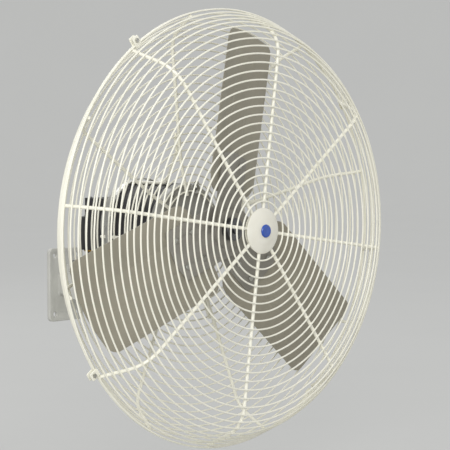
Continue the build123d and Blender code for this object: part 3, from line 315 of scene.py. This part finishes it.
# Light grey powder coat on the welded bracket: the same fine texture, darker where it is rubbed
light_powder_coat = surface(
    "light_powder_coat", "#d0d0ca", "#c6c6c0", rough=0.48, patch=45, grain=1.4, bump=0.06, worn="#a3a39e"
)
# Black paint over a sand casting: the sand's grain shows through
painted_casting = surface(
    "painted_casting", "#26262a", "#1b1b1e", rough=0.58, patch=30, grain=2.2, bump=0.14, worn="#606063"
)
# Zinc plate on steel: pale and spangled, with small dull spots
zinc_plate = surface(
    "zinc_plate",
    "#c6c6c0",
    "#abaaa6",
    rough=0.3,
    patch=8,
    grain=1.0,
    bump=0.02,
    metallic=1.0,
    speck=("#918e80", 3),
)
# Turned and oiled steel: very fine grain, darker than zinc
turned_steel = surface(
    "turned_steel", "#77787c", "#5f6064", rough=0.32, patch=20, grain=0.4, bump=0.02, metallic=1.0
)
# Stacked electrical sheet: the hairlines of its sheets, which lie across the fan's axis
laminated_steel = surface(
    "laminated_steel",
    "#5b5b60",
    "#3e3e42",
    rough=0.45,
    patch=40,
    grain=0.5,
    bump=0.1,
    metallic=1.0,
    along=(0.05, 1.0, 0.05),
)
# Varnished magnet wire: copper with the close lumps of a wound coil in its relief
magnet_wire = surface(
    "magnet_wire", "#b3632f", "#8b4420", rough=0.35, patch=6, grain=0.8, bump=0.2, metallic=1.0
)
# Sintered bronze: warm, slightly porous
sintered_bronze = surface(
    "sintered_bronze", "#b08c4c", "#94733a", rough=0.38, patch=12, grain=0.8, bump=0.03, metallic=1.0
)
# Moulded nylon: black, even, with the fine bite of a spark-eroded mould
moulded_nylon = surface(
    "moulded_nylon", "#1a1a1b", "#141415", rough=0.48, patch=15, grain=0.5, bump=0.03, worn="#38383a"
)
# Injection moulded acrylic: deep blue with a clear gloss
glossy_acrylic = surface(
    "glossy_acrylic",
    "#2553b4",
    "#1f4aa4",
    rough=0.2,
    patch=12,
    grain=3.0,
    bump=0.01,
    coat=0.5,
    swing=0.03,
)
# Drawn aluminium can: bright, with fine drawing lines along it
drawn_can = surface(
    "drawn_can",
    "#cfcfcd",
    "#b9b9b7",
    rough=0.34,
    patch=14,
    grain=0.5,
    bump=0.02,
    metallic=1.0,
    along=(1.0, 0.1, 1.0),
)
# Marking paint, printed on: an even, dull white
marking_paint = surface(
    "marking_paint", "#e6e6e2", "#dcdcd6", rough=0.5, patch=4, grain=0.6, bump=0.02
)

finish_of_slot = {
    "guard_paint": powder_coated_wire,
    "blade_metal": enamelled_blade,
    "spider_steel": enamelled_spider,
    "motor_paint": machine_enamel,
    "mount_paint": black_powder_coat,
    "bracket_paint": light_powder_coat,
    "neck_iron": painted_casting,
    "plated_steel": zinc_plate,
    "dark_steel": turned_steel,
    "core_steel": laminated_steel,
    "winding_copper": magnet_wire,
    "bronze": sintered_bronze,
    "black_plastic": moulded_nylon,
    "hub_blue": glossy_acrylic,
    "can_metal": drawn_can,
}
slot_of_node = {part["node"]: part["material_slot"] for part in frame["record"]["subparts"]}
for name, slot in slot_of_node.items():
    frame["nodes"][name].material_slots[0].material = finish_of_slot[slot]


# Pieces

merge_distance = 0.002 * MM
flat_angle = math.radians(0.4)
sharp_angle = math.radians(32.0)
rounding_steps = 2
bead_subdivisions = 2


def add_piece(name, shape, body, slot, material=None, replaced=(), crease=38.0):
    """Makes an object of a bmesh, smooth but for its sharp edges, and rides it on a body."""
    mesh = bpy.data.meshes.new(name)
    shape.to_mesh(mesh)
    shape.free()
    mesh.shade_smooth()
    mesh.set_sharp_from_angle(angle=math.radians(crease))
    mesh.materials.append(material or finish_of_slot[slot])
    piece = bpy.data.objects.new(name, mesh)
    bpy.context.scene.collection.objects.link(piece)
    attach(piece, body)
    if replaced:
        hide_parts(*replaced)
    return piece


def body_of(node):
    """The body that carries a node."""
    bodies = frame["record"]["behaviour"]["bodies"]
    return next(body for body, nodes in bodies.items() if node in nodes)


def soften(node, radius):
    """Replaces a node by its own shape with the sharp edges rounded."""
    shape = bmesh.new()
    shape.from_mesh(frame["nodes"][node].data)
    bmesh.ops.remove_doubles(shape, verts=shape.verts, dist=merge_distance)
    bmesh.ops.dissolve_limit(shape, angle_limit=flat_angle, verts=shape.verts, edges=shape.edges)
    piece = add_piece(
        f"{node}_finished", shape, body_of(node), slot_of_node[node], replaced=[node], crease=180.0
    )
    rounding = piece.modifiers.new("rounding", "BEVEL")
    rounding.width = radius
    rounding.segments = rounding_steps
    rounding.limit_method = "ANGLE"
    rounding.angle_limit = sharp_angle
    rounding.harden_normals = True
    rounding.miter_outer = "MITER_ARC"


def turned(profile, steps=96):
    """A closed section of radius and depth in millimetres, spun round the fan's axis."""
    shape = bmesh.new()
    points = [shape.verts.new(on_fan(0.0, radius * MM, depth * MM)) for radius, depth in profile]
    edges = [shape.edges.new((points[k - 1], points[k])) for k in range(len(points))]
    bmesh.ops.spin(
        shape,
        geom=points + edges,
        cent=fan_front,
        axis=fan_axis,
        angle=2 * math.pi,
        steps=steps,
        use_merge=True,
    )
    bmesh.ops.recalc_face_normals(shape, faces=shape.faces)
    return shape


def add_bead(shape, place, first, second, third, sizes):
    """A bead at a place, with its half lengths along three directions."""
    columns = [direction * size for direction, size in zip((first, second, third), sizes)]
    matrix = Matrix.Translation(place) @ Matrix(columns).transposed().to_4x4()
    bmesh.ops.create_icosphere(shape, subdivisions=bead_subdivisions, radius=1.0, matrix=matrix)


# Guard: weld beads where wires cross, and where each ring's ends meet

bead_wide = 2.9 * MM
bead_long = 2.3 * MM
bead_deep = 1.2 * MM
joint_long = 3.4 * MM
joint_thick = 1.95 * MM
golden_turn = 137.5


def weld_beads(name, wires, first_turn, side):
    """Beads between rings and spokes. side is 1 where the spokes lie behind the rings."""
    shape = bmesh.new()
    for place, (radius, depth) in enumerate(wires):
        before = Vector(wires[max(place - 1, 0)])
        after = Vector(wires[min(place + 1, len(wires) - 1)])
        run = (after - before).normalized()
        inside = side * Vector((-run.y, run.x))
        spot = Vector((radius, depth)) + inside * ring_wire / 2
        for turn in (first_turn + 360 / guard_spokes * k for k in range(guard_spokes)):
            away = outward(turn)
            add_bead(
                shape,
                on_fan(turn, spot.x, spot.y),
                away.cross(fan_axis),
                away * run.x + fan_axis * run.y,
                away * inside.x + fan_axis * inside.y,
                (bead_wide, bead_long, bead_deep),
            )
        turn = golden_turn * place
        away = outward(turn)
        sizes = (joint_long, joint_thick, joint_thick)
        add_bead(shape, on_fan(turn, radius, depth), away.cross(fan_axis), away, fan_axis, sizes)
    add_piece(name, shape, "fan_head", "guard_paint")


def guard_welds():
    """Weld beads of both guards, ring by ring from the middle over the shoulder."""
    front = ring_wires("front_guard_rings")
    front += sorted(ring_wires("front_shoulder_rings"), key=lambda wire: wire[1])
    rear = ring_wires("rear_guard_rings")
    rear += sorted(ring_wires("rear_shoulder_rings"), key=lambda wire: -wire[1])
    weld_beads("front_weld_beads", front, front_turn, 1)
    weld_beads("rear_weld_beads", rear, rear_turn, -1)


# Disc: its section in millimetres, the front from the middle out, the rolled rim, the back

disc_section = [
    (3.1, -6.35),
    (12.5, -5.95),
    (20.0, -5.15),
    (25.2, -4.45),
    (26.4, -3.95),
    (27.8, -3.6),
    (33.5, -2.35),
    (38.0, -1.2),
    (40.2, -0.35),
    (41.3, 0.1),
    (41.95, 0.8),
    (41.3, 1.45),
    (40.3, 1.55),
    (39.4, 1.0),
    (33.5, -0.95),
    (27.8, -2.2),
    (20.0, -3.75),
    (12.5, -4.5),
    (3.1, -4.9),
]


def hub_disc():
    """The pressed disc: a shallow dome with a step and a rolled rim."""
    add_piece(
        "hub_disc_pressed",
        turned(disc_section),
        "fan_head",
        "guard_paint",
        material=powder_coated_sheet,
        replaced=["hub_disc"],
        crease=50.0,
    )


# Motor shell, in millimetres

shell_wall = 2.5
groove_from_end = 9
groove_depth = 0.9
groove_half = 1.6
shell_steps = 128


def motor_shell():
    """The rolled shell, with a groove near each end where the bells are crimped."""
    radius = reach("motor_shell", Vector((1, 0, 0))) / MM
    low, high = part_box("motor_shell")
    front, back = (low.y - face_y) / MM, (high.y - face_y) / MM
    section = [(radius - shell_wall, back), (radius - shell_wall, front), (radius, front)]
    for groove in (front + groove_from_end, back - groove_from_end):
        section += [
            (radius, groove - groove_half),
            (radius - groove_depth, groove - groove_half / 2),
            (radius - groove_depth, groove + groove_half / 2),
            (radius, groove + groove_half),
        ]
    section.append((radius, back))
    add_piece(
        "motor_shell_rolled",
        turned(section, shell_steps),
        "fan_head",
        "mount_paint",
        replaced=["motor_shell"],
        crease=30.0,
    )


# Bracket: fillet welds

ripple_pitch = 2.2 * MM
ripple_long = 1.8 * MM
ripple_wide = 2.6 * MM


def weld_runs():
    """Rippled fillet welds where the arm and the gussets meet the plate and the clevis."""
    low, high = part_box("wall_arm")
    gusset_low, gusset_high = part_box("arm_gussets")
    runs = []
    for depth in (low.y, high.y):
        places = ((low.x, low.z), (high.x, low.z), (high.x, high.z), (low.x, high.z))
        corners = [Vector((x, depth, z)) for x, z in places]
        runs += zip(corners, corners[1:] + corners[:1])
    for side in (gusset_low.x, gusset_high.x):
        for root, tip in ((high.z, gusset_high.z), (low.z, gusset_low.z)):
            corner = Vector((side, gusset_high.y, root))
            runs.append((corner, Vector((side, gusset_high.y, tip))))
            runs.append((corner, Vector((side, gusset_low.y, root))))
    shape = bmesh.new()
    for start, end in runs:
        along = (end - start).normalized()
        aside = along.orthogonal().normalized()
        count = int((end - start).length / ripple_pitch)
        for k in range(count):
            place = start.lerp(end, (k + 0.5) / count)
            sizes = (ripple_long, ripple_wide, ripple_wide)
            add_bead(shape, place, along, aside, along.cross(aside), sizes)
    add_piece("bracket_weld_runs", shape, "wall_bracket", "bracket_paint")


# Speed knob: ticks on the cover, a line on the grip

tick_long = 4.4 * MM
tick_wide = 1.3 * MM
tick_thick = 0.3 * MM
tick_corner = 0.45 * tick_wide
tick_corner_steps = 3
tick_radius = 18.4 * MM
tick_count = 5
knob_range = 120.0
line_long = 9.0 * MM
upright_least = 0.9


def painted_bar(shape, place, along, facing, length):
    """One painted stroke with rounded ends."""
    across = facing.cross(along)
    columns = [along * length, across * tick_wide, facing * tick_thick]
    matrix = Matrix.Translation(place) @ Matrix(columns).transposed().to_4x4()
    corners = bmesh.ops.create_cube(shape, size=1.0, matrix=matrix)["verts"]
    upright = [
        edge
        for edge in {edge for corner in corners for edge in corner.link_edges}
        if abs((edge.verts[0].co - edge.verts[1].co).normalized().dot(facing)) > upright_least
    ]
    bmesh.ops.bevel(
        shape,
        geom=upright,
        offset=tick_corner,
        segments=tick_corner_steps,
        profile=0.5,
        affect="EDGES",
        material=-1,
    )


def dial_marks():
    """Ticks over the knob's range, and the line that points at them."""
    facing = outward(box_turn)
    first = facing.cross(fan_axis).normalized()
    low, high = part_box("speed_knob")
    centre = fan_front + fan_axis * ((low.y + high.y) / 2 - face_y)
    ticks = bmesh.new()
    for k in range(tick_count):
        along = first.copy()
        along.rotate(Quaternion(facing, math.radians(knob_range * k / (tick_count - 1))))
        place = centre + facing * reach("terminal_cover", facing) + along * tick_radius
        painted_bar(ticks, place, along, facing, tick_long)
    add_piece("speed_ticks", ticks, "fan_head", "guard_paint", marking_paint)
    line = bmesh.new()
    place = centre + facing * reach("speed_knob", facing) + first * line_long / 2
    painted_bar(line, place, first, facing, line_long)
    add_piece("knob_line", line, "speed_knob", "guard_paint", marking_paint)


# Width of each rounded edge, in millimetres

edge_width = {
    "blade_1": 0.6,
    "blade_2": 0.6,
    "blade_3": 0.6,
    "blade_spider": 0.9,
    "front_bell": 1.0,
    "rear_bell": 1.0,
    "terminal_box": 0.8,
    "terminal_cover": 0.5,
    "gearbox_housing": 1.6,
    "gearbox_cover": 0.8,
    "neck_block": 1.6,
    "arm_clevis": 1.2,
    "wall_arm": 1.0,
    "wall_plate": 0.8,
    "arm_gussets": 0.8,
    "clutch_knob": 0.6,
    "speed_knob": 0.8,
    "tilt_lever": 1.0,
    "crank_link": 0.8,
    "stay_band": 0.3,
    "rim_clamps": 0.35,
    "seat_clamps": 0.4,
    "hub_backplate": 0.4,
    "prop_hub": 0.5,
    "blade_rivets": 0.9,
}

guard_welds()
hub_disc()
motor_shell()
weld_runs()
dial_marks()
for node, width in edge_width.items():
    soften(node, width * MM)


# Stage, light and camera


def seen_by(tree):
    """1 for rays from the camera, and for those that metal or clear plastic throws on."""
    rays = put(tree, "ShaderNodeLightPath").outputs
    direct = {0: rays["Is Camera Ray"], 1: rays["Is Glossy Ray"]}
    mirrored = put(tree, "ShaderNodeMath", direct, operation="MAXIMUM")
    both = {0: mirrored.outputs["Value"], 1: rays["Is Transmission Ray"]}
    return put(tree, "ShaderNodeMath", both, operation="MAXIMUM").outputs["Value"]


def floor_paint():
    """Matt floor paint. Most of what the eye sees of it is one even tone, the rest takes shadow."""
    material = surface(
        "floor_paint", "#c9c9c6", "#c5c5c2", rough=0.9, patch=400, grain=5, bump=0.0
    )
    tree = material.node_tree
    painted = tree.nodes["Principled BSDF"]
    even = put(tree, "ShaderNodeEmission", {"Color": colour(backdrop_tone), "Strength": 1.0})
    shares = {0: seen_by(tree), 1: backdrop_evenness}
    share = put(tree, "ShaderNodeMath", shares, operation="MULTIPLY")
    blend = put(tree, "ShaderNodeMixShader", {"Fac": share.outputs["Value"]})
    tree.links.new(painted.outputs["BSDF"], blend.inputs[1])
    tree.links.new(even.outputs["Emission"], blend.inputs[2])
    tree.links.new(blend.outputs["Shader"], tree.nodes["Material Output"].inputs["Surface"])
    return material


def make_stage():
    """A pale floor that rises all round, as a wide shallow bowl."""
    floor_level = cad_box[0].z - floor_gap
    rows = [(0.0, 0.0), (bowl_flat, 0.0)]
    rows += [
        (bowl_flat + bowl_rise * math.sin(a), bowl_rise * (1 - math.cos(a)))
        for a in (math.pi / 2 * n / bowl_steps for n in range(1, bowl_steps + 1))
    ]
    bowl = bmesh.new()
    points = [bowl.verts.new((r, face_y / 2, floor_level + z)) for r, z in rows]
    edges = [bowl.edges.new(pair) for pair in zip(points, points[1:])]
    bmesh.ops.spin(
        bowl,
        geom=points + edges,
        cent=(0.0, face_y / 2, 0.0),
        axis=(0.0, 0.0, 1.0),
        angle=2 * math.pi,
        steps=bowl_turns,
        use_merge=True,
    )
    bmesh.ops.remove_doubles(bowl, verts=bowl.verts, dist=MM)
    bmesh.ops.recalc_face_normals(bowl, faces=bowl.faces)
    mesh = bpy.data.meshes.new("stage_floor")
    bowl.to_mesh(mesh)
    bowl.free()
    mesh.shade_smooth()
    mesh.materials.append(floor_paint())
    floor = bpy.data.objects.new("stage_floor", mesh)
    bpy.context.scene.collection.objects.link(floor)


def add_light(name, place, target, size, power):
    """A soft square light that faces a point."""
    data = bpy.data.lights.new(name, "AREA")
    data.size = size
    data.energy = power
    light = bpy.data.objects.new(name, data)
    light.location = place
    light.rotation_euler = (target - place).to_track_quat("-Z", "Y").to_euler()
    bpy.context.scene.collection.objects.link(light)


def light_scene():
    """A soft key from above the camera, a weak fill, a light from behind, and an even sky."""
    world = bpy.data.worlds.new("studio")
    world.use_nodes = True
    tree = world.node_tree
    sky = tree.nodes["Background"]
    sky.inputs["Color"].default_value = colour(sky_tone)
    sky.inputs["Strength"].default_value = sky_strength
    wall = put(tree, "ShaderNodeBackground", {"Color": colour(backdrop_tone), "Strength": 1.0})
    blend = put(tree, "ShaderNodeMixShader", {"Fac": seen_by(tree)})
    tree.links.new(sky.outputs["Background"], blend.inputs[1])
    tree.links.new(wall.outputs["Background"], blend.inputs[2])
    tree.links.new(blend.outputs["Shader"], tree.nodes["World Output"].inputs["Surface"])
    bpy.context.scene.world = world
    aim = fan_front + Vector((0.0, aim_depth, 0.0))
    for name, (place, size, power) in studio_lights.items():
        add_light(name, aim + Vector(place), aim, size, power)


def place_camera():
    """The photograph's view: from the left of the fan and a little above its axis."""
    level = math.cos(camera_elevation)
    back = Vector(
        (
            math.sin(camera_azimuth) * level,
            -math.cos(camera_azimuth) * level,
            math.sin(camera_elevation),
        )
    )
    right = Vector((math.cos(camera_azimuth), math.sin(camera_azimuth), 0.0))
    up = back.cross(right)
    data = bpy.data.cameras.new("camera")
    data.sensor_width = sensor_mm
    data.lens = focal_px / picture_px * sensor_mm
    camera = bpy.data.objects.new("camera", data)
    aside = (up * centre_down_px - right * centre_right_px) / focal_px
    spot = fan_front + axis_distance * (back + aside)
    camera.matrix_world = Matrix.Translation(spot) @ Matrix((right, up, back)).transposed().to_4x4()
    bpy.context.scene.collection.objects.link(camera)
    bpy.context.scene.camera = camera


make_stage()
light_scene()
place_camera()
bpy.context.scene.view_settings.view_transform = "Standard"
